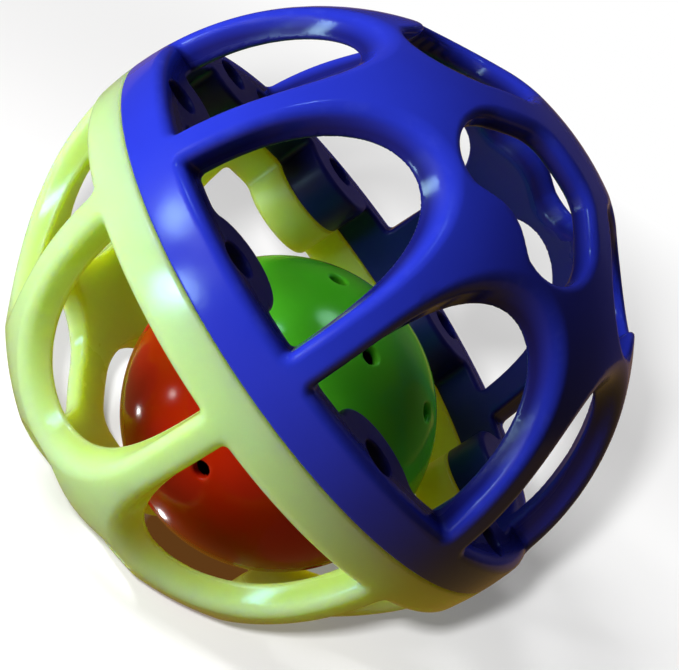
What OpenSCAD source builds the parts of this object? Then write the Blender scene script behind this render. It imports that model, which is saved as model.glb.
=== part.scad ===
// Cat bell ball: an openwork ball of two moulded halves with a loose rattle capsule inside, which holds a
// jingle bell. Millimetres, +Z up. The origin is the centre of the ball, which lies on a pole hole.

/* [Cage] */
// Outside diameter of the openwork ball
ball_d = 80; // [76:1:92]
// Thickness of the cage wall at the seam
seam_wall = 4.6; // [4:0.1:5.2]
// Thickness of the cage wall at the poles
pole_wall = 2.9; // [2.4:0.1:3.6]
// Height of the plain band of each half, from the seam to the windows
band_h = 5.9; // [5:0.1:7]
// Width of the struts between the arched windows
strut_w = 4.4; // [3.6:0.1:5.6]
// Distance from the pole axis to the top of an arched window
arch_reach = 26.5; // [26:0.1:28]
// Chamfer along the outer edge of the seam
seam_chamfer = 0.3; // [0.2:0.1:0.6]

/* [Pole holes] */
// Diameter of the two outer corners of a pole hole
lobe_d = 12.4; // [11:0.1:12.8]
// Width of the web between a pole hole and an arched window
web_w = 2.4; // [2:0.1:3.2]
// Distance between the outer corners' centres
lobe_apart = 9.6; // [8:0.1:10]
// Diameter of the two inner corners of a pole hole
root_d = 9.6; // [8:0.1:10]
// Distance from the pole axis to the inner corners' centres
root_out = 13.2; // [12:0.1:14]
// Distance between the inner corners' centres
root_apart = 4.8; // [4:0.1:6]
// Diameter of the round nub in the middle of the hole's outer edge
nub_d = 11; // [8:0.5:14]
// How far the nub stands into the hole
nub_h = 1; // [0.6:0.1:1.6]

/* [Seam joint] */
// Diameter of the joint bosses behind the band
boss_d = 13.4; // [11:0.1:15]
// Diameter of the pegs that hold the halves together
peg_d = 4.4; // [3.6:0.1:5]
// Length of the pegs above the seam
peg_len = 3.6; // [2.5:0.1:4.4]
// Clearance all round a peg in its hole
peg_gap = 0.15; // [0.1:0.05:0.3]

/* [Capsule] */
// Outside diameter of the loose capsule
capsule_d = 42; // [39:0.5:44]
// Thickness of the capsule's shells
capsule_wall = 1.6; // [1.2:0.1:2]
// Length of the lip of one shell inside the other
lip_h = 2.2; // [1.5:0.1:3]
// Thickness of that lip
lip_t = 1; // [0.8:0.1:1.4]
// Clearance round the lip
lip_gap = 0.1; // [0.05:0.05:0.2]
// Diameter of the sound holes
sound_d = 2.2; // [1.6:0.1:2.8]
// Latitude of the sound holes beside the seam
low_ring = 16; // [15:1:22]
// Latitude of the sound holes round the pole
high_ring = 59; // [45:1:65]
// Turn of both rings of sound holes about the pole axis
sound_turn = 49; // [0:1:71]

/* [Bell] */
// Outside diameter of the bell's cups
bell_d = 22; // [18:0.5:24]
// Thickness of the bell's sheet metal
bell_wall = 0.6; // [0.5:0.1:0.9]
// Width of the flanges where the cups are joined
flange_w = 0.9; // [0.6:0.1:1.4]
// Width of the crossed slots in the lower cup
slot_w = 1.6; // [1.2:0.1:2.2]
// Diameter of the round slot ends
slot_end_d = 3.2; // [2.4:0.1:4]
// Distance between the round ends of one slot
slot_span = 13; // [11:0.5:14]
// Diameter of the loop's wire
wire_d = 1.2; // [0.9:0.1:1.5]
// Inside width of the loop
loop_w = 4; // [3:0.1:5]
// Clearance of the loop's legs in the upper cup
leg_gap = 0.1; // [0.05:0.05:0.2]
// Diameter of the pellet
pellet_d = 5; // [4:0.1:6]

/* [Lying] */
// Clearance under the loose pieces where they lie
loose_gap = 0.3; // [0.2:0.05:0.5]
// Angle between the pole axis and the vertical, on the rim of a pole hole
lie_tilt = 23.4; // [20:0.1:30]
// Turn of the ball about its pole axis
lie_turn = 3.3; // [-20:0.1:20]
// Angle between the capsule's place in the cage and the lowest point
capsule_lean = 17; // [0:0.5:20]
// Compass direction in which the capsule lies off the lowest point
capsule_way = 52; // [0:1:359]

/* [Hidden] */
$fn = 96;

windows = 8;             // arched windows round each half of the cage
pole_holes = windows / 2;
ring_holes = 5;          // sound holes in each ring of the capsule's shells
past = 1;                // how far a cutter runs past what it cuts
side_lap = 0.06;         // how far a window's round top stands past its straight sides, so that they cross

ball_r = ball_d / 2;
cage_in_r = ball_r - seam_wall;
cage_rise = seam_wall - pole_wall;
half_pitch = 180 / windows;

// An arched window, seen along the pole axis, is a circle that touches the sides of both its struts
arch_r = (arch_reach * sin(half_pitch) - strut_w / 2) / (1 - sin(half_pitch));
arch_at = arch_reach + arch_r;

lobe_r = lobe_d / 2;
root_r = root_d / 2;
nub_r = nub_d / 2;

// The outer corners of a pole hole keep the web's width from the two nearest windows
lobe_clear = arch_r + web_w + lobe_r;
lobe_beside = arch_at * sin(half_pitch) - lobe_apart / 2;
lobe_out = arch_at * cos(half_pitch) - sqrt(lobe_clear ^ 2 - lobe_beside ^ 2);
hole_edge = lobe_out + lobe_r;

capsule_r = capsule_d / 2;
capsule_in_r = capsule_r - capsule_wall;
lip_r = sqrt(capsule_in_r ^ 2 - lip_h ^ 2) - lip_gap;
capsule_drop = cage_in_r - capsule_r - loose_gap;
capsule_side = sin(capsule_lean) * [cos(capsule_way), sin(capsule_way)];
bowl_at = -cage_rise * [sin(lie_tilt), 0, cos(lie_tilt)];
capsule_at = bowl_at + capsule_drop * [capsule_side.x, capsule_side.y, -cos(capsule_lean)];

bell_r = bell_d / 2;
bell_in_r = bell_r - bell_wall;
bell_drop = capsule_in_r - bell_r - loose_gap;
bell_at = capsule_at - [0, 0, bell_drop];
wire_r = wire_d / 2;
loop_r = loop_w / 2 + wire_r;
leg_foot = bell_in_r - 2 * wire_d;
loop_base = bell_r + wire_r;

pellet_r = pellet_d / 2;
pellet_drop = bell_in_r - pellet_r - loose_gap;
pellet_at = bell_at - [0, 0, pellet_drop];

// Turns the upright ball, whose pole axis is Z, to the way it lies
module lying() {
    rotate([0, lie_tilt, 0]) rotate([0, 0, -lie_turn]) children();
}

module ring_of(count, first = 0) {
    for (i = [0 : count - 1]) rotate([0, 0, first + i * 360 / count]) children();
}

// Two circles and the straight sides that touch both
module tapered_slot(a, ra, b, rb) {
    along = atan2(b.y - a.y, b.x - a.x);
    side = acos((ra - rb) / norm(b - a));
    translate(a) circle(ra);
    translate(b) circle(rb);
    polygon([
        a + ra * [cos(along + side), sin(along + side)],
        b + rb * [cos(along + side), sin(along + side)],
        b + rb * [cos(along - side), sin(along - side)],
        a + ra * [cos(along - side), sin(along - side)]
    ]);
}

// Straight sides of an arched window, from where the round top meets them to outside the ball
module arch_sides() {
    side_r = arch_r - side_lap;
    touch = [arch_at - side_r * sin(half_pitch), side_r * cos(half_pitch)];
    outer = touch + ball_r * [cos(half_pitch), sin(half_pitch)];
    polygon([touch, outer, [outer.x, -outer.y], [touch.x, -touch.y]]);
}

module pole_hole_plan() {
    lobe = [lobe_out, lobe_apart / 2];
    root = [root_out, root_apart / 2];
    lobe_b = [lobe.x, -lobe.y];
    root_b = [root.x, -root.y];
    difference() {
        union() {
            tapered_slot(root, root_r, lobe, lobe_r);
            tapered_slot(root_b, root_r, lobe_b, lobe_r);
            tapered_slot(root, root_r, root_b, root_r);
            tapered_slot(lobe, lobe_r, lobe_b, lobe_r);
            polygon([root, lobe, lobe_b, root_b]);
        }
        translate([hole_edge + nub_r - nub_h, 0]) circle(nub_r);
    }
}

// Half a hollow ball above its seam, whose inside can be raised to make the wall thinner at the pole
module half_shell(outer_r, inner_r, rise = 0) {
    rotate_extrude() intersection() {
        difference() {
            circle(outer_r);
            translate([0, rise]) circle(inner_r);
        }
        square(outer_r + past);
    }
}

// One half of the cage, upright above its seam, with walls that follow the mould's draw along the pole axis
module cage_half() {
    difference() {
        union() {
            half_shell(ball_r, cage_in_r, cage_rise);
            intersection() {
                ring_of(windows, half_pitch) translate([cage_in_r, 0, 0]) cylinder(h = band_h, d = boss_d);
                sphere(ball_r - seam_chamfer);
            }
        }
        ring_of(windows, half_pitch) translate([arch_at, 0, band_h]) cylinder(h = ball_r, r = arch_r);
        ring_of(windows, half_pitch) translate([0, 0, band_h]) linear_extrude(ball_r) arch_sides();
        ring_of(pole_holes) translate([0, 0, band_h]) linear_extrude(ball_r) pole_hole_plan();
        rotate_extrude() polygon([
            [ball_r - seam_chamfer, 0],
            [ball_r + past, 0],
            [ball_r + past, seam_chamfer + past]
        ]);
    }
}

module pegs(d, h) {
    ring_of(windows, half_pitch) translate([cage_in_r, 0, 0]) cylinder(h = h, d = d);
}

module blue_cage_half() {
    color("mediumblue") lying() difference() {
        cage_half();
        translate([0, 0, -past]) pegs(peg_d + 2 * peg_gap, band_h + 2 * past);
    }
}

module yellow_cage_half() {
    color("greenyellow") lying() {
        mirror([0, 0, 1]) cage_half();
        translate([0, 0, -past]) pegs(peg_d, peg_len + past);
    }
}

module sound_holes(latitude) {
    ring_of(ring_holes, sound_turn) rotate([0, 90 - latitude, 0]) translate([0, 0, capsule_in_r - past])
        cylinder(h = capsule_wall + 2 * past, d = sound_d);
}

// One shell of the capsule, upright above its seam
module capsule_shell() {
    difference() {
        half_shell(capsule_r, capsule_in_r);
        sound_holes(low_ring);
        sound_holes(high_ring);
    }
}

// Lip that enters the other shell, with a foot inside its own
module capsule_lip() {
    rotate_extrude() intersection() {
        polygon([
            [lip_r - lip_t, -lip_h],
            [lip_r, -lip_h],
            [lip_r, 0],
            [capsule_r - capsule_wall / 2, 0],
            [capsule_r - capsule_wall / 2, lip_h],
            [lip_r - lip_t, lip_h]
        ]);
        circle(capsule_r - capsule_wall / 2);
    }
}

module green_capsule_half() {
    color("limegreen") translate(capsule_at) lying() {
        capsule_shell();
        capsule_lip();
    }
}

module red_capsule_half() {
    color("orangered") translate(capsule_at) lying() mirror([0, 0, 1]) capsule_shell();
}

// One cup of the bell above its joint, with the flange that is pressed to the other cup's
module bell_cup() {
    half_shell(bell_r, bell_in_r);
    rotate_extrude() translate([bell_in_r + bell_wall / 2, 0]) square([bell_wall / 2 + flange_w, bell_wall]);
}

module loop_legs(d) {
    for (side = [-1, 1]) translate([side * loop_r, 0, leg_foot]) cylinder(h = loop_base - leg_foot, d = d);
}

module bell_top_cup() {
    color("goldenrod") translate(bell_at) difference() {
        bell_cup();
        loop_legs(wire_d + 2 * leg_gap);
    }
}

module bell_bottom_cup() {
    color("goldenrod") translate(bell_at) mirror([0, 0, 1]) difference() {
        bell_cup();
        for (turn = [0, 90]) rotate([0, 0, turn]) linear_extrude(bell_r + past) {
            square([slot_span, slot_w], center = true);
            for (side = [-1, 1]) translate([side * slot_span / 2, 0]) circle(d = slot_end_d);
        }
    }
}

module bell_loop() {
    color("darkgoldenrod") translate(bell_at) {
        loop_legs(wire_d);
        translate([0, 0, loop_base]) rotate([90, 0, 0]) rotate_extrude(angle = 180)
            translate([loop_r, 0]) circle(wire_r);
    }
}

module bell_pellet() {
    color("silver") translate(pellet_at) sphere(pellet_r);
}

blue_cage_half();
yellow_cage_half();
green_capsule_half();
red_capsule_half();
bell_top_cup();
bell_bottom_cup();
bell_loop();
bell_pellet();
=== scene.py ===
"""Looks of the cat bell ball: an openwork ball of two moulded halves round a loose rattle capsule."""

import math

import bpy
from mathutils import Matrix, Vector


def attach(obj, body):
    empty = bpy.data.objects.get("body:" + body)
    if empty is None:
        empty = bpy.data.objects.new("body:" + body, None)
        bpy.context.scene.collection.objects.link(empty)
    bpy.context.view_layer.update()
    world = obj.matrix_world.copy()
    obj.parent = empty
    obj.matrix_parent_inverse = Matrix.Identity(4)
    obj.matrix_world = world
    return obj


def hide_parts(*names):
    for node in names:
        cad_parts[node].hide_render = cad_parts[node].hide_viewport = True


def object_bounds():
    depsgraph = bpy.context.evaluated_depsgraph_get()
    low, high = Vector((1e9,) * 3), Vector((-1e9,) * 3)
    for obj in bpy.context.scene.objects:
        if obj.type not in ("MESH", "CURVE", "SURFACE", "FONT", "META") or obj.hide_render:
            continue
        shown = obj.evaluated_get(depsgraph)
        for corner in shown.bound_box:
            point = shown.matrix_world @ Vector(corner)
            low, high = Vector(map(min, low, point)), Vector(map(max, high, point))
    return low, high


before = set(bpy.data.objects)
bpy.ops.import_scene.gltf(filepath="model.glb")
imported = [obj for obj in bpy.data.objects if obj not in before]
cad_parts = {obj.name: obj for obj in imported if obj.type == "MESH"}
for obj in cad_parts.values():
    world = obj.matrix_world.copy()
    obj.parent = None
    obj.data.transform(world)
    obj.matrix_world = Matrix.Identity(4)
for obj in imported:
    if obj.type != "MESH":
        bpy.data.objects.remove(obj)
cad_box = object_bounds()

MM = 0.001
WHITE = (1.0, 1.0, 1.0)

# How the ball lies: its pole axis leans towards +X, and the capsule lies low in the cage
LIE_TILT = math.radians(23.4)
LIE_TURN = math.radians(3.3)
LYING = Matrix.Rotation(LIE_TILT, 4, "Y") @ Matrix.Rotation(-LIE_TURN, 4, "Z")
UNDER = Matrix.Rotation(math.pi, 4, "X")
BOWL_RISE = 1.7
BOWL_AT = -BOWL_RISE * Vector((math.sin(LIE_TILT), 0.0, math.cos(LIE_TILT)))
CAPSULE_LEAN = math.radians(17)
CAPSULE_WAY = math.radians(52)
CAPSULE_DROP = 14.1
CAPSULE_AT = BOWL_AT + CAPSULE_DROP * Vector((
    math.sin(CAPSULE_LEAN) * math.cos(CAPSULE_WAY),
    math.sin(CAPSULE_LEAN) * math.sin(CAPSULE_WAY),
    -math.cos(CAPSULE_LEAN),
))

# Sizes in millimetres, as in the part's source, with the edge roundings that only the moulding has
CAGE_SIZES = {
    "Ball Radius": 40.0,
    "Seam Wall": 4.6,
    "Pole Wall": 2.9,
    "Band Height": 5.9,
    "Strut Width": 4.4,
    "Arch Reach": 26.5,
    "Lobe Radius": 6.2,
    "Lobe Out": 17.516,
    "Lobe Aside": 4.8,
    "Root Radius": 4.8,
    "Root Out": 13.2,
    "Root Aside": 2.4,
    "Nub Radius": 5.5,
    "Nub Height": 1.0,
    "Nub Fillet": 1.4,
    "Boss Radius": 6.7,
    "Boss Fillet": 0.8,
    "Peg Radius": 2.2,
    "Peg Hole Radius": 2.35,
    "Peg Length": 3.6,
    "Rim Radius": 1.3,
    "Inner Edge Radius": 0.7,
    "Corner Radius": 0.7,
    "Seam Edge Radius": 0.3,
    "Seam Gap": 0.1,
    "Peg Hole Edge": 0.25,
    "Peg Edge": 0.4,
    "Peg Root": 1.0,
    "Cell": 0.31,
}
NO_PEG_HOLE = {"Peg Hole Radius": -1.0}
NO_PEG = {"Peg Length": -5.0}

CAPSULE_SIZES = {
    "Capsule Radius": 21.0,
    "Wall": 1.6,
    "Lip Length": 2.2,
    "Lip Foot": 2.2,
    "Lip Edge": 0.2,
    "Lip Thickness": 1.0,
    "Lip Gap": 0.1,
    "Sound Hole Radius": 1.1,
    "Low Ring": math.radians(16),
    "High Ring": math.radians(59),
    "Sound Turn": math.radians(49),
    "Hole Edge Radius": 0.5,
    "Seam Edge Radius": 0.25,
    "Seam Gap": 0.02,
    "Cell": 0.34,
}
NO_LIP = {"Lip Length": -3.0, "Sound Turn": -CAPSULE_SIZES["Sound Turn"]}

WINDOWS = 8
RING_HOLES = 5


# Node arithmetic

class Number:
    """A number in a node tree. Arithmetic on it adds Math nodes."""

    def __init__(self, tree, socket):
        self.tree, self.socket = tree, socket

    def __add__(self, other): return math_node("ADD", self, other)
    def __sub__(self, other): return math_node("SUBTRACT", self, other)
    def __rsub__(self, other): return math_node("SUBTRACT", other, self)
    def __mul__(self, other): return math_node("MULTIPLY", self, other)
    def __truediv__(self, other): return math_node("DIVIDE", self, other)
    def __rtruediv__(self, other): return math_node("DIVIDE", other, self)
    def __neg__(self): return math_node("MULTIPLY", self, -1.0)


def math_node(operation, *terms):
    tree = next(t.tree for t in terms if isinstance(t, Number))
    node = tree.nodes.new("ShaderNodeMath")
    node.operation = operation
    for socket, term in zip(node.inputs, terms):
        feed(tree, socket, term)
    return Number(tree, node.outputs[0])


def feed(tree, socket, value):
    """Links a number or a socket to an input, or sets the input to a plain value."""
    if isinstance(value, Number):
        tree.links.new(value.socket, socket)
    elif isinstance(value, bpy.types.NodeSocket):
        tree.links.new(value, socket)
    else:
        socket.default_value = value


def larger(a, b): return math_node("MAXIMUM", a, b)
def smaller(a, b): return math_node("MINIMUM", a, b)
def size_of(a): return math_node("ABSOLUTE", a)
def root_of(a): return math_node("SQRT", a)
def cosine(a): return math_node("COSINE", a)
def sine(a): return math_node("SINE", a)
def nearest_turn(angle, half_pitch): return math_node("PINGPONG", angle, half_pitch)
def length(a, b): return root_of(a * a + b * b)


def where(test, yes, no):
    """yes where test is above 0, and no elsewhere."""
    return no + math_node("GREATER_THAN", test, 0.0) * (yes - no)


def both(a, b, radius):
    """Distance to what lies in a and in b, with the edge between them rounded."""
    corner = length(larger(a + radius, 0.0), larger(b + radius, 0.0))
    return smaller(larger(a, b), -radius) + corner


def either(a, b, radius):
    """Distance to a and b joined, with a fillet in the corner between them."""
    corner = length(larger(radius - a, 0.0), larger(radius - b, 0.0))
    return larger(smaller(a, b), radius) - corner


def numbers_of(tree, vector):
    """The three numbers of a vector."""
    split = tree.nodes.new("ShaderNodeSeparateXYZ")
    tree.links.new(vector, split.inputs[0])
    return [Number(tree, socket) for socket in split.outputs]


def vector_node(tree, operation, *terms):
    node = tree.nodes.new("ShaderNodeVectorMath")
    node.operation = operation
    for socket, term in zip([s for s in node.inputs if s.enabled], terms):
        feed(tree, socket, term)
    return node.outputs["Value"] if operation == "LENGTH" else node.outputs["Vector"]


def scaled(tree, vector, factor):
    node = tree.nodes.new("ShaderNodeVectorMath")
    node.operation = "SCALE"
    feed(tree, node.inputs[0], vector)
    feed(tree, node.inputs["Scale"], factor)
    return node.outputs["Vector"]


# Distance fields of the mouldings: below 0 inside the plastic, and 0 on its surface

FIELD_MARKS = ("Rim", "Depth")
FIELD_RESULTS = ("Distance", *FIELD_MARKS)


def field_group(name, sizes, body):
    """A node group that takes a position and the sizes, and gives the field's results there."""
    group = bpy.data.node_groups.new(name, "GeometryNodeTree")
    group.interface.new_socket("Position", in_out="INPUT", socket_type="NodeSocketVector")
    for key in sizes:
        group.interface.new_socket(key, in_out="INPUT", socket_type="NodeSocketFloat")
    for key in FIELD_RESULTS:
        group.interface.new_socket(key, in_out="OUTPUT", socket_type="NodeSocketFloat")
    entry = group.nodes.new("NodeGroupInput")
    place = numbers_of(group, entry.outputs["Position"])
    given = {key: Number(group, entry.outputs[key]) for key in sizes}
    leave = group.nodes.new("NodeGroupOutput")
    for key, value in zip(FIELD_RESULTS, body(*place, given)):
        feed(group, leave.inputs[key], value)
    return group


def arched_window(along, across, size):
    """Plan of an arched window: round at the top, with straight sides along its struts."""
    lean = math.pi / WINDOWS
    room = size["Arch Reach"] * math.sin(lean) - size["Strut Width"] * 0.5
    radius = room / (1 - math.sin(lean))
    centre = size["Arch Reach"] + radius
    out = along - centre
    past_round = out * math.cos(lean) + across * math.sin(lean)
    side = across * math.cos(lean) - out * math.sin(lean)
    return where(past_round, side, length(out, across)) - radius


def pole_hole(along, across, size):
    """Plan of a pole hole: four rounded corners, and a nub in the middle of the outer edge."""
    step_out = size["Lobe Out"] - size["Root Out"]
    step_aside = size["Lobe Aside"] - size["Root Aside"]
    span = length(step_out, step_aside)
    to_x, to_y = step_out / span, step_aside / span
    out, aside = along - size["Root Out"], across - size["Root Aside"]
    run = out * to_x + aside * to_y
    off = size_of(aside * to_x - out * to_y)
    taper = (size["Root Radius"] - size["Lobe Radius"]) / span
    slope = root_of(1.0 - taper * taper)
    place = run * slope - off * taper
    root = length(off, run) - size["Root Radius"]
    lobe = length(off, run - span) - size["Lobe Radius"]
    flank = off * slope + run * taper - size["Root Radius"]
    corners = where(place, where(place - slope * span, lobe, flank), root)
    reach = smaller(larger(out, 0.0), step_out) * (step_aside / step_out)
    outer_edge = size["Lobe Out"] + size["Lobe Radius"]
    inner_edge = size["Root Out"] - size["Root Radius"]
    middle = larger(larger(inner_edge - along, along - outer_edge), aside - reach)
    nub_at = outer_edge + size["Nub Radius"] - size["Nub Height"]
    beside_nub = size["Nub Radius"] - length(along - nub_at, across)
    return both(smaller(corners, middle), beside_nub, size["Nub Fillet"])


def cage_half(x, y, z, size):
    """One half of the openwork ball above its seam, with walls that follow the mould's draw."""
    away = length(x, y)
    reach = length(away, z)
    angle = math_node("ARCTAN2", y, x)
    outside = reach - size["Ball Radius"]
    in_reach = size["Ball Radius"] - size["Seam Wall"]
    inside = in_reach - length(away, z - (size["Seam Wall"] - size["Pole Wall"]))

    half_pitch = math.pi / WINDOWS
    turn = half_pitch - nearest_turn(angle, half_pitch)
    along, across = away * cosine(turn), away * sine(turn)
    ledge = size["Band Height"] - z
    window = both(arched_window(along, across, size), ledge, size["Corner Radius"])

    turn = nearest_turn(angle, 2 * half_pitch)
    hole = pole_hole(away * cosine(turn), away * sine(turn), size)
    cut = -smaller(window, hole)

    boss_off = length(along - in_reach, across)
    wall = either(inside, boss_off - size["Boss Radius"], size["Boss Fillet"])
    wall = both(wall, cut, size["Inner Edge Radius"])
    half = both(outside, wall, size["Rim Radius"])
    half = both(half, size["Seam Gap"] - z, size["Seam Edge Radius"])
    half = both(half, size["Peg Hole Radius"] - boss_off, size["Peg Hole Edge"])
    peg = both(boss_off - size["Peg Radius"], -size["Peg Length"] - z, size["Peg Edge"])
    half = smaller(half, larger(peg, z - size["Peg Root"]))
    return half, smaller(outside, cut), -outside


def sound_ring(away, angle, z, latitude, radius):
    """Distance to the bores of one ring of sound holes, above 0 in the bores."""
    turn = nearest_turn(angle, math.pi / RING_HOLES)
    front, side = away * cosine(turn), away * sine(turn)
    off = front * sine(latitude) - z * cosine(latitude)
    return radius - length(off, side)


def capsule_half(x, y, z, size):
    """One shell of the capsule above its seam, with two rings of sound holes and a lip below it."""
    away = length(x, y)
    reach = length(away, z)
    angle = math_node("ARCTAN2", y, x) - size["Sound Turn"]
    outside = reach - size["Capsule Radius"]
    in_reach = size["Capsule Radius"] - size["Wall"]
    shell = larger(in_reach - reach, size["Seam Gap"] - z)
    bores = larger(
        sound_ring(away, angle, z, size["Low Ring"], size["Sound Hole Radius"]),
        sound_ring(away, angle, z, size["High Ring"], size["Sound Hole Radius"]),
    )
    half = both(both(outside, shell, size["Seam Edge Radius"]), bores, size["Hole Edge Radius"])
    lip_r = root_of(in_reach * in_reach - size["Lip Foot"] * size["Lip Foot"]) - size["Lip Gap"]
    half_lip = size["Lip Thickness"] * 0.5
    ring = size_of(away - (lip_r - half_lip)) - half_lip
    lip = larger(both(ring, -size["Lip Length"] - z, size["Lip Edge"]), z - size["Lip Foot"])
    lip = larger(lip, outside + size["Wall"] * 0.5)
    return smaller(half, both(lip, bores, size["Lip Edge"])), smaller(outside, bores), -outside


# Meshes of the fields

TETRAHEDRON = ((1, -1, -1), (-1, -1, 1), (-1, 1, -1), (1, 1, 1))
PROBE = 0.02        # how far from a point the field is probed for its slope, in millimetres
SETTLING = 3        # times each point is moved onto the field's surface
REACH = 0.4         # the farthest that one such move goes, in millimetres
ADAPTIVITY = 0.002  # how far flat stretches of the skin are merged
OUTSIDE = -1.0      # density past the sampled box
MARGIN = 0.8        # room round a moulding in its sampled box, in millimetres
CAGE_SIDE_MARGIN = 1.0


def sampled_box(radius, below, side_margin):
    """Lowest and highest corners of the box that a field is sampled in."""
    side = radius + side_margin
    return (-side, -side, -(below + MARGIN)), (side, side, radius + MARGIN)


def next_node(tree, kind, shape, socket="Geometry"):
    """A new node that takes the shape from the one before."""
    node = tree.nodes.new(kind)
    tree.links.new(shape, node.inputs[socket])
    return node


class Moulding:
    """Geometry Nodes that turn a distance field into a smooth closed mesh."""

    def __init__(self, name, field, sizes):
        self.field, self.sizes = field, sizes
        self.tree = bpy.data.node_groups.new(name, "GeometryNodeTree")
        sockets = self.tree.interface
        sockets.new_socket("Geometry", in_out="INPUT", socket_type="NodeSocketGeometry")
        for key in sizes:
            sockets.new_socket(key, in_out="INPUT", socket_type="NodeSocketFloat")
        sockets.new_socket("Geometry", in_out="OUTPUT", socket_type="NodeSocketGeometry")
        self.entry = self.tree.nodes.new("NodeGroupInput")

    def position(self):
        return self.tree.nodes.new("GeometryNodeInputPosition").outputs[0]

    def sample(self, place, key):
        """One of the field's results at a place."""
        call = self.tree.nodes.new("GeometryNodeGroup")
        call.node_tree = self.field
        feed(self.tree, call.inputs["Position"], place)
        for size in self.sizes:
            self.tree.links.new(self.entry.outputs[size], call.inputs[size])
        return Number(self.tree, call.outputs[key])

    def slope(self):
        """Sum of the distances at four points round each point, and the field's slope there."""
        here = self.position()
        total, slope = 0.0, None
        for way in TETRAHEDRON:
            probe = vector_node(self.tree, "ADD", here, tuple(PROBE * w for w in way))
            value = self.sample(probe, "Distance")
            total = value + total
            lean = scaled(self.tree, way, value)
            slope = lean if slope is None else vector_node(self.tree, "ADD", slope, lean)
        return total, slope

    def skin(self, low, high):
        """Rough mesh of the field's surface in the sampled box."""
        cube = self.tree.nodes.new("GeometryNodeVolumeCube")
        cube.inputs["Background"].default_value = OUTSIDE
        cube.inputs["Min"].default_value = low
        cube.inputs["Max"].default_value = high
        feed(self.tree, cube.inputs["Density"], -self.sample(self.position(), "Distance"))
        cell = Number(self.tree, self.entry.outputs["Cell"])
        for axis, a, b in zip("XYZ", low, high):
            feed(self.tree, cube.inputs["Resolution " + axis], math_node("CEIL", (b - a) / cell))
        skin = next_node(self.tree, "GeometryNodeVolumeToMesh", cube.outputs["Volume"], "Volume")
        skin.resolution_mode = "GRID"
        skin.inputs["Threshold"].default_value = 0.0
        skin.inputs["Adaptivity"].default_value = ADAPTIVITY
        return skin.outputs["Mesh"]

    def settled(self, shape):
        """The mesh with each point moved onto the field's surface."""
        total, slope = self.slope()
        steep = Number(self.tree, vector_node(self.tree, "LENGTH", slope))
        mean = total / len(TETRAHEDRON)
        step = -smaller(larger(mean, -REACH), REACH)
        settle = next_node(self.tree, "GeometryNodeSetPosition", shape)
        feed(self.tree, settle.inputs["Offset"], scaled(self.tree, slope, step / larger(steep, PROBE)))
        return settle.outputs["Geometry"]

    def marked(self, shape, key):
        """The mesh with one of the field's results kept on its points, for the finish."""
        mark = next_node(self.tree, "GeometryNodeStoreNamedAttribute", shape)
        mark.data_type, mark.domain = "FLOAT", "POINT"
        mark.inputs["Name"].default_value = key.lower()
        feed(self.tree, mark.inputs["Value"], self.sample(self.position(), key))
        return mark.outputs["Geometry"]

    def faced(self, shape):
        """The mesh with smooth normals along the field's slope."""
        smooth = next_node(self.tree, "GeometryNodeSetShadeSmooth", shape)
        facing = next_node(self.tree, "GeometryNodeSetMeshNormal", smooth.outputs["Geometry"], "Mesh")
        facing.mode, facing.domain = "FREE", "POINT"
        normal = vector_node(self.tree, "NORMALIZE", self.slope()[1])
        feed(self.tree, facing.inputs["Custom Normal"], normal)
        return facing.outputs["Mesh"]

    def finish(self, shape, material):
        real = next_node(self.tree, "GeometryNodeRealizeInstances", shape)
        finish = next_node(self.tree, "GeometryNodeSetMaterial", real.outputs["Geometry"])
        finish.inputs["Material"].default_value = material
        next_node(self.tree, "NodeGroupOutput", finish.outputs["Geometry"])


def moulding_tree(name, field, sizes, box, material):
    moulding = Moulding(name, field, sizes)
    shape = moulding.skin(*box)
    for _ in range(SETTLING):
        shape = moulding.settled(shape)
    for key in FIELD_MARKS:
        shape = moulding.marked(shape, key)
    moulding.finish(moulding.faced(shape), material)
    return moulding.tree


def made_by(name, tree, sizes, place):
    """Runs a tree with these sizes, and returns its result as a plain mesh at its place in the row."""
    blank = bpy.data.objects.new(name + "_blank", bpy.data.meshes.new(name + "_blank"))
    bpy.context.scene.collection.objects.link(blank)
    modifier = blank.modifiers.new("moulding", "NODES")
    modifier.node_group = tree
    for item in tree.interface.items_tree:
        if item.in_out == "INPUT" and item.name in sizes:
            modifier[item.identifier] = sizes[item.name]
    depsgraph = bpy.context.evaluated_depsgraph_get()
    mesh = bpy.data.meshes.new_from_object(blank.evaluated_get(depsgraph), depsgraph=depsgraph)
    blank.modifiers.clear()
    bpy.data.objects.remove(blank)
    mesh.name = name
    mesh.transform(place @ Matrix.Scale(MM, 4))
    piece = bpy.data.objects.new(name, mesh)
    bpy.context.scene.collection.objects.link(piece)
    return piece


# Finishes. A noise is given by its scale, in waves to the metre, and its detail

NOISE_MIDDLE = (0.3, 0.7)       # the part of a noise's range that a finish's own range is stretched over
CLOUDS = (60.0, 3.0)
SKIN = (160.0, 5.0)
SKIN_SPREAD = (-0.04, 0.06)     # how far the skin's roughness strays from its mean
SCUFFS = (420.0, 4.0)
SCUFF_FROM = (0.5, 0.75)
SCUFF_MOST = 0.25
SCUFF_ROUGHNESS = 0.12
RUBBED_FROM = (-1.1, -0.2)      # how near a rim the plastic is rubbed, in millimetres
PAINTED_DEPTH_FROM = (0.6, 2.4)          # depths at which the painted shade and the painted glow of the deep walls set in, in millimetres
MATT_FROM = (2.6, 3.6)          # and those between which the gloss fades
MATT_ROUGHNESS = 0.2
GRAIN = (900.0, 2.0)
GRAIN_STRENGTH = 0.05
GRAIN_HEIGHT = 0.2 * MM
PLASTIC_IOR = 1.5
SCATTER = (1.0, 0.85, 0.15)     # how far each colour gets through the lime plastic
SCATTER_DEPTH = 8.0 * MM
PAINTED_GLOW_STRENGTHS = (0.04, 0.06)   # painted glow: emission at the outer face and on the deep walls, in place of light through the plastic

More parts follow.
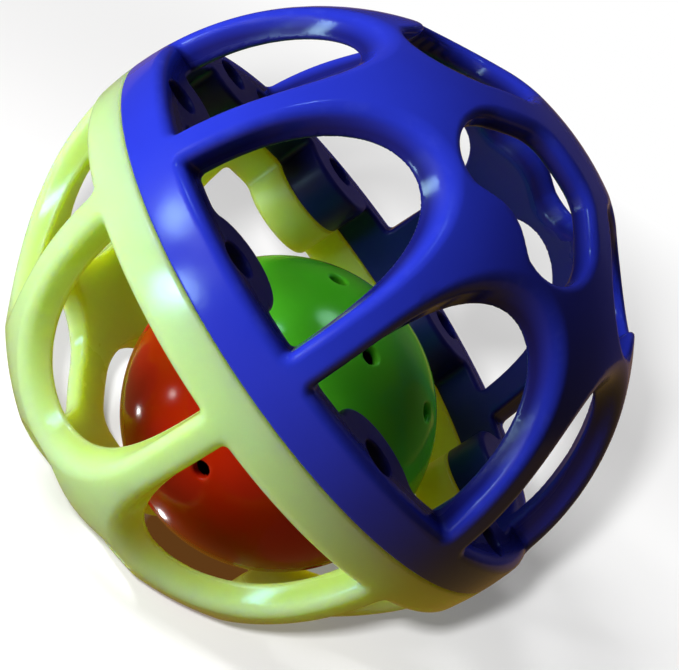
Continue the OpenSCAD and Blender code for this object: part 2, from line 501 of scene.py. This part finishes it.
SPOTS = (220.0, 5.0)
SPOT_FROM = (0.45, 0.75)
SCRATCH_DETAIL = 4.0
SCRATCH_SPREAD = 0.15
SCRATCH_STRENGTH = 0.08
SCRATCH_HEIGHT = 0.1 * MM
SCRATCH_BUMP_DETAIL = 3.0


def new_material(name):
    material = bpy.data.materials.new(name)
    material.use_nodes = True
    tree = material.node_tree
    return material, tree, tree.nodes["Principled BSDF"]


def object_place(tree):
    return tree.nodes.new("ShaderNodeTexCoord").outputs["Object"]


def noise(tree, place, scale, detail):
    node = tree.nodes.new("ShaderNodeTexNoise")
    node.inputs["Scale"].default_value = scale
    node.inputs["Detail"].default_value = detail
    tree.links.new(place, node.inputs["Vector"])
    return node.outputs["Fac"]


def blended(tree, share, low, high):
    """A colour between low and high."""
    node = tree.nodes.new("ShaderNodeMix")
    node.data_type = "RGBA"
    feed(tree, node.inputs["Factor"], share)
    for socket, colour in zip([s for s in node.inputs if s.type == "RGBA"], (low, high)):
        feed(tree, socket, colour if isinstance(colour, bpy.types.NodeSocket) else (*colour, 1.0))
    return next(s for s in node.outputs if s.type == "RGBA")


def stretched(tree, value, span, to_low=0.0, to_high=1.0):
    """The value moved from a span of its own to another, and held at its ends."""
    node = tree.nodes.new("ShaderNodeMapRange")
    feed(tree, node.inputs["Value"], value)
    ends = {"From Min": span[0], "From Max": span[1], "To Min": to_low, "To Max": to_high}
    for key, number in ends.items():
        node.inputs[key].default_value = number
    return Number(tree, node.outputs["Result"])


def attribute(tree, name):
    node = tree.nodes.new("ShaderNodeAttribute")
    node.attribute_name = name
    return node.outputs["Fac"]


def fine_bump(tree, shader, height, strength, distance):
    bump = tree.nodes.new("ShaderNodeBump")
    bump.inputs["Strength"].default_value = strength
    bump.inputs["Distance"].default_value = distance
    feed(tree, bump.inputs["Height"], height)
    tree.links.new(bump.outputs["Normal"], shader.inputs["Normal"])


def plastic(name, face, cloud, shaded_inner, worn, rough, painted_glow=None, shine=0.32):
    """Glossy moulding: cloudy colour with painted shade that darkens it on the deep walls and inside, a
    fine skin and rubbed rims, and on the lime a painted glow.
    """
    material, tree, shader = new_material(name)
    place = object_place(tree)
    clouds = stretched(tree, noise(tree, place, *CLOUDS), NOISE_MIDDLE)
    base = blended(tree, clouds, cloud, face)
    # Painted shade: towards the deep walls and the inside the colour turns to the darker inner colour (on
    # the lime a more yellow one)
    base = blended(tree, stretched(tree, attribute(tree, "depth"), PAINTED_DEPTH_FROM), base, shaded_inner)
    rubbed = stretched(tree, attribute(tree, "rim"), RUBBED_FROM)
    wear = rubbed * stretched(tree, noise(tree, place, *SCUFFS), SCUFF_FROM, 0.0, SCUFF_MOST)
    tree.links.new(blended(tree, wear, base, worn), shader.inputs["Base Color"])
    spread = [rough + stray for stray in SKIN_SPREAD]
    skin = stretched(tree, noise(tree, place, *SKIN), NOISE_MIDDLE, *spread)
    matt = stretched(tree, attribute(tree, "depth"), MATT_FROM, 0.0, MATT_ROUGHNESS)
    feed(tree, shader.inputs["Roughness"], skin + wear * SCUFF_ROUGHNESS + matt)
    fine_bump(tree, shader, noise(tree, place, *GRAIN), GRAIN_STRENGTH, GRAIN_HEIGHT)
    shader.inputs["IOR"].default_value = PLASTIC_IOR
    shader.inputs["Specular IOR Level"].default_value = shine
    # A painted glow colour turns on real subsurface scattering, and adds a painted glow by emission
    if painted_glow:
        shader.inputs["Subsurface Weight"].default_value = 1.0
        shader.inputs["Subsurface Radius"].default_value = SCATTER
        shader.inputs["Subsurface Scale"].default_value = SCATTER_DEPTH
        shader.inputs["Emission Color"].default_value = (*painted_glow, 1.0)
        # Painted glow: the emission strength rises from the outer face to the deep walls
        through = stretched(tree, attribute(tree, "depth"), PAINTED_DEPTH_FROM, *PAINTED_GLOW_STRENGTHS)
        feed(tree, shader.inputs["Emission Strength"], through)
    return material


def metal(name, colour, tarnish, rough, grain):
    """Bright sheet or wire: a little tarnish, and fine scratches."""
    material, tree, shader = new_material(name)
    place = object_place(tree)
    spots = stretched(tree, noise(tree, place, *SPOTS), SPOT_FROM)
    tree.links.new(blended(tree, spots, colour, tarnish), shader.inputs["Base Color"])
    scratches = noise(tree, place, grain, SCRATCH_DETAIL)
    roughness = stretched(tree, scratches, NOISE_MIDDLE, rough, rough + SCRATCH_SPREAD)
    feed(tree, shader.inputs["Roughness"], roughness)
    height = noise(tree, place, grain * 2, SCRATCH_BUMP_DETAIL)
    fine_bump(tree, shader, height, SCRATCH_STRENGTH, SCRATCH_HEIGHT)
    shader.inputs["Metallic"].default_value = 1.0
    return material


# shaded_inner is the painted shade colour of each plastic's deep walls and inside
blue = plastic(
    "blue_plastic", rough=0.15,
    face=(0.022, 0.038, 0.55), cloud=(0.019, 0.031, 0.48),
    shaded_inner=(0.008, 0.010, 0.15), worn=(0.08, 0.11, 0.70),
)
# The lime plastic has a painted glow on top of its real subsurface scattering
lime = plastic(
    "lime_plastic", rough=0.16, painted_glow=(1.0, 0.72, 0.0), shine=0.6,
    face=(0.48, 0.71, 0.33), cloud=(0.45, 0.66, 0.29),
    shaded_inner=(0.44, 0.66, 0.15), worn=(0.54, 0.70, 0.38),
)
green = plastic(
    "green_plastic", rough=0.15,
    face=(0.14, 0.74, 0.03), cloud=(0.11, 0.66, 0.02),
    shaded_inner=(0.05, 0.28, 0.01), worn=(0.25, 0.65, 0.12),
)
red = plastic(
    "red_plastic", rough=0.12, shine=0.22,
    face=(0.42, 0.012, 0.001), cloud=(0.35, 0.009, 0.001),
    shaded_inner=(0.2, 0.006, 0.001), worn=(0.60, 0.10, 0.04),
)
brass = metal("bell_brass", (0.80, 0.55, 0.20), (0.55, 0.34, 0.10), rough=0.16, grain=500.0)
wire = metal("loop_wire", (0.72, 0.48, 0.17), (0.50, 0.30, 0.09), rough=0.22, grain=900.0)
steel = metal("pellet_steel", (0.58, 0.58, 0.60), (0.40, 0.39, 0.38), rough=0.28, grain=1200.0)


# The cage and the capsule

CAGE = {
    "body": "cage",
    "sizes": CAGE_SIZES,
    "field": field_group("cage_field", CAGE_SIZES, cage_half),
    "box": sampled_box(CAGE_SIZES["Ball Radius"], CAGE_SIZES["Peg Length"], CAGE_SIDE_MARGIN),
}
CAPSULE = {
    "body": "capsule",
    "sizes": CAPSULE_SIZES,
    "field": field_group("capsule_field", CAPSULE_SIZES, capsule_half),
    "box": sampled_box(CAPSULE_SIZES["Capsule Radius"], CAPSULE_SIZES["Lip Length"], MARGIN),
}


def moulded(name, node, form, material, place, changes):
    """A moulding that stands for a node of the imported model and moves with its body."""
    tree = moulding_tree(name + "_moulding", form["field"], form["sizes"], form["box"], material)
    piece = made_by(name, tree, {**form["sizes"], **changes}, place)
    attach(piece, form["body"])
    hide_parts(node)
    return piece


capsule_lying = Matrix.Translation(CAPSULE_AT * MM) @ LYING
moulded("blue_cage", "blue_cage_half", CAGE, blue, LYING, NO_PEG)
lime_cage = moulded("lime_cage", "yellow_cage_half", CAGE, lime, LYING @ UNDER, NO_PEG_HOLE)
green_shell = moulded(
    "green_shell", "green_capsule_half", CAPSULE, green, capsule_lying, {})
red_shell = moulded(
    "red_shell", "red_capsule_half", CAPSULE, red, capsule_lying @ UNDER, NO_LIP)

BELL_FINISHES = {"bell_top_cup": brass, "bell_bottom_cup": brass, "bell_loop": wire, "bell_pellet": steel}
for node, material in BELL_FINISHES.items():
    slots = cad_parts[node].data.materials
    slots.clear()
    slots.append(material)


# Stage

CAMERA_WAY = Vector((-0.0176, -0.9511, 0.3083)).normalized()
CAMERA_ROLL = math.radians(31.93)
CAMERA_DISTANCE = 0.240
CAMERA_LENS = 98.83
CAMERA_SENSOR = 36.0
CAMERA_SHIFT = (0.0287, -0.0208)
CAMERA_CLIP = 0.01

ROOM_LIGHT = 0.02
ROOM_COLOUR = (1.0, 0.7, 0.55)
MIRRORED = 0.04                     # how bright the white surroundings are in the plastics' sheen
FLOOR_WIDTH = 12.0
FLOOR_COLOUR = (0.9, 0.9, 0.9)
FLOOR_BOUNCE = (0.21, 0.11, 0.008)  # warm light that the floor throws up
SHADOW_LIFT = 0.20                  # how bright the floor is in the full shadow
WHITE_FROM = (0.18, 0.42)           # distances from the ball between which the floor turns plain white
FRONT_WHITE_FROM = (-0.17, -0.11)   # and how far along Y it does so in front of the ball
# Painted shadow on the floor under the capsule, tinted red-brown as a painted reflection of the red shell
PAINTED_SHADOW_AT = (0.003, 0.005, 0.0)
PAINTED_SHADOW_FROM = (0.0085, 0.0125)     # distances between which the painted shadow on the floor under the capsule fades out
PAINTED_SHADOW_COLOUR = (0.11, 0.042, 0.009)

COOL = (0.5, 0.82, 1.0)
DEEP_COOL = (0.25, 0.7, 1.0)
GREENISH = (0.5, 1.0, 0.8)
FADE_GAIN = 2.0                     # makes up for the light that a lamp's soft edge takes away
GLINT_WAYS = {"left_glint": (-74.0, -19.0), "low_glint": (-110.0, -39.0), "under_glint": (-164.0, -57.0)}
FLOOR_LAMP_SHIFT = Vector((-0.0088, 0.0130, 0.0))   # from the camera, along its own axes: left and up
FLOOR_LAMP_STRENGTH = 16.0
FLOOR_LAMP_SIZE = 0.010
SOFT_LAMP_AT = Vector((-0.182, -0.217, 0.283))
SOFT_LAMP_STRENGTH = 9.0
SOFT_LAMP_SIZE = 0.12


def emission(tree, colour):
    node = tree.nodes.new("ShaderNodeEmission")
    node.inputs["Color"].default_value = (*colour, 1.0)
    return node.outputs[0]


def mixed(tree, share, first, second):
    node = tree.nodes.new("ShaderNodeMixShader")
    feed(tree, node.inputs["Fac"], share)
    tree.links.new(first, node.inputs[1])
    tree.links.new(second, node.inputs[2])
    return node.outputs[0]


def seen_share(tree):
    """1 for rays that show the white surroundings, less for those of a sheen, and 0 for light."""
    path = tree.nodes.new("ShaderNodeLightPath")
    camera = Number(tree, path.outputs["Is Camera Ray"])
    glossy = Number(tree, path.outputs["Is Glossy Ray"])
    through = Number(tree, path.outputs["Is Transmission Ray"])
    return larger(larger(camera, through), glossy * MIRRORED)


def floor_material():
    """White floor with the ball's shadow where it is seen, a painted shadow under the capsule, and an even
    warm bounce for all other rays.
    """
    material, tree, shader = new_material("floor")
    tree.nodes.remove(shader)
    matt = tree.nodes.new("ShaderNodeBsdfDiffuse")
    matt.inputs["Color"].default_value = (*FLOOR_COLOUR, 1.0)
    spot = object_place(tree)
    apart = vector_node(tree, "LENGTH", spot)
    along_y = numbers_of(tree, spot)[1]
    plain = larger(
        stretched(tree, apart, WHITE_FROM, SHADOW_LIFT, 1.0),
        stretched(tree, along_y, FRONT_WHITE_FROM, 1.0, 0.0),
    )
    shown = mixed(tree, plain, matt.outputs[0], emission(tree, WHITE))
    # Painted shadow: the floor is darkened round a spot under the capsule
    from_painted_shadow = vector_node(tree, "LENGTH", vector_node(tree, "SUBTRACT", spot, PAINTED_SHADOW_AT))
    outside_painted_shadow = stretched(tree, from_painted_shadow, PAINTED_SHADOW_FROM)
    shown = mixed(tree, outside_painted_shadow, emission(tree, PAINTED_SHADOW_COLOUR), shown)
    surface = mixed(tree, seen_share(tree), emission(tree, FLOOR_BOUNCE), shown)
    tree.links.new(surface, tree.nodes["Material Output"].inputs["Surface"])
    return material


def white_floor(height):
    bpy.ops.mesh.primitive_plane_add(size=FLOOR_WIDTH, location=(0.0, 0.0, height))
    floor = bpy.context.object
    floor.name = "floor"
    floor.data.materials.append(floor_material())
    return floor


def studio_world():
    """Dim room, plain white where the camera sees it."""
    world = bpy.data.worlds.new("studio")
    world.use_nodes = True
    tree = world.node_tree
    seen = seen_share(tree)
    background = tree.nodes["Background"]
    tree.links.new(blended(tree, seen, ROOM_COLOUR, WHITE), background.inputs["Color"])
    feed(tree, background.inputs["Strength"], seen * (1.0 - ROOM_LIGHT) + ROOM_LIGHT)
    bpy.context.scene.world = world


def photo_camera():
    camera = bpy.data.cameras.new("camera")
    camera.lens = CAMERA_LENS
    camera.sensor_width = CAMERA_SENSOR
    camera.shift_x, camera.shift_y = CAMERA_SHIFT
    camera.clip_start = CAMERA_CLIP
    viewer = bpy.data.objects.new("camera", camera)
    level = CAMERA_WAY.to_track_quat("Z", "Y").to_matrix()
    viewer.rotation_euler = (level @ Matrix.Rotation(CAMERA_ROLL, 3, "Z")).to_euler()
    viewer.location = CAMERA_WAY * CAMERA_DISTANCE
    bpy.context.scene.collection.objects.link(viewer)
    bpy.context.scene.camera = viewer
    return viewer


def light_group(name, pieces, state="INCLUDE"):
    """Pieces that a lamp lights or is blocked by alone, or that it leaves out."""
    group = bpy.data.collections.new(name)
    for piece in pieces:
        group.objects.link(piece)
    for member in group.collection_objects:
        member.light_linking.link_state = state
    return group


def placed_lamp(name, lamp, place, turn, lights):
    holder = bpy.data.objects.new(name, lamp)
    holder.location, holder.rotation_euler = place, turn
    holder.visible_camera = False
    bpy.context.scene.collection.objects.link(holder)
    holder.light_linking.receiver_collection = lights
    return holder


def soft_light(name, way, distance, size, power, lights, colour=WHITE):
    """A soft-edged lamp aimed at the ball. Azimuth 0 is the camera's side, and it rises towards +X."""
    lamp = bpy.data.lights.new(name, "AREA")
    lamp.shape = "ELLIPSE"
    lamp.size, lamp.size_y = size
    lamp.energy, lamp.color = power, colour
    lamp.use_nodes = True
    tree = lamp.node_tree
    spot = tree.nodes.new("ShaderNodeNewGeometry").outputs["Parametric"]
    u, v = [number * 2.0 - 1.0 for number in numbers_of(tree, spot)[:2]]
    fade = larger(1.0 - (u * u + v * v), 0.0)
    feed(tree, tree.nodes["Emission"].inputs["Strength"], fade * FADE_GAIN)
    azimuth, elevation = (math.radians(angle) for angle in way)
    out = Vector((
        math.sin(azimuth) * math.cos(elevation),
        -math.cos(azimuth) * math.cos(elevation),
        math.sin(elevation),
    ))
    turn = (-out).to_track_quat("-Z", "Y").to_euler()
    return placed_lamp(name, lamp, out * distance, turn, lights)


def floor_light(name, place, turn, size, strength, lights):
    """A lamp that lights the floor evenly, so that the ball's shadow lies on it."""
    lamp = bpy.data.lights.new(name, "AREA")
    lamp.size = size
    lamp.energy = 1.0
    lamp.use_nodes = True
    tree = lamp.node_tree
    falloff = tree.nodes.new("ShaderNodeLightFalloff")
    falloff.inputs["Strength"].default_value = strength
    tree.links.new(falloff.outputs["Constant"], tree.nodes["Emission"].inputs["Strength"])
    return placed_lamp(name, lamp, place, turn, lights)


viewer = photo_camera()
floor = white_floor(cad_box[0].z)
studio_world()
bpy.context.scene.view_settings.view_transform = "Standard"

on_floor = light_group("on_floor", [floor])
off_floor = light_group("off_floor", [floor], "EXCLUDE")
on_capsule = light_group("on_capsule", [green_shell, red_shell])
on_lime = light_group("on_lime", [lime_cage])

# Broad light from the left and a weaker one from behind, which the sheen doesn't show
window = soft_light(
    "window", way=(-60.0, 10.0), distance=0.55, size=(0.62, 0.56), power=4.8, lights=off_floor)
back = soft_light(
    "back", way=(155.0, 22.0), distance=0.60, size=(0.50, 0.50), power=1.9, lights=off_floor)
for lamp in (window, back):
    lamp.visible_glossy = False

# Small lamps for the sheen
soft_light(
    "upper_pane", way=(-65.0, 12.0), distance=0.53, size=(0.17, 0.13), power=0.58,
    lights=off_floor, colour=COOL)
soft_light(
    "lower_pane", way=(-45.0, -1.0), distance=0.53, size=(0.15, 0.11), power=0.50,
    lights=off_floor, colour=COOL)
soft_light(
    "top", way=(-70.0, 58.0), distance=0.60, size=(0.10, 0.10), power=0.2,
    lights=off_floor, colour=COOL)
soft_light(
    "above", way=(-169.0, 78.0), distance=0.60, size=(0.20, 0.20), power=0.55,
    lights=on_capsule, colour=GREENISH)
lime_pane = soft_light(
    "lime_pane", way=(-50.0, -5.0), distance=0.53, size=(0.16, 0.12), power=0.45,
    lights=on_lime, colour=DEEP_COOL)
lime_pane.light_linking.blocker_collection = off_floor
for name, way in GLINT_WAYS.items():
    glint = soft_light(name, way, distance=0.30, size=(0.012, 0.012), power=0.04, lights=on_capsule)
    glint.light_linking.blocker_collection = on_capsule

# One small lamp beside the camera and a broader one farther off light the floor alone
camera_turn = viewer.rotation_euler
floor_lamp_at = viewer.location + camera_turn.to_matrix() @ FLOOR_LAMP_SHIFT
floor_light("floor_lamp", floor_lamp_at, camera_turn, FLOOR_LAMP_SIZE, FLOOR_LAMP_STRENGTH, on_floor)
soft_lamp_turn = SOFT_LAMP_AT.to_track_quat("Z", "Y").to_euler()
floor_light("soft_floor_lamp", SOFT_LAMP_AT, soft_lamp_turn, SOFT_LAMP_SIZE, SOFT_LAMP_STRENGTH, on_floor)
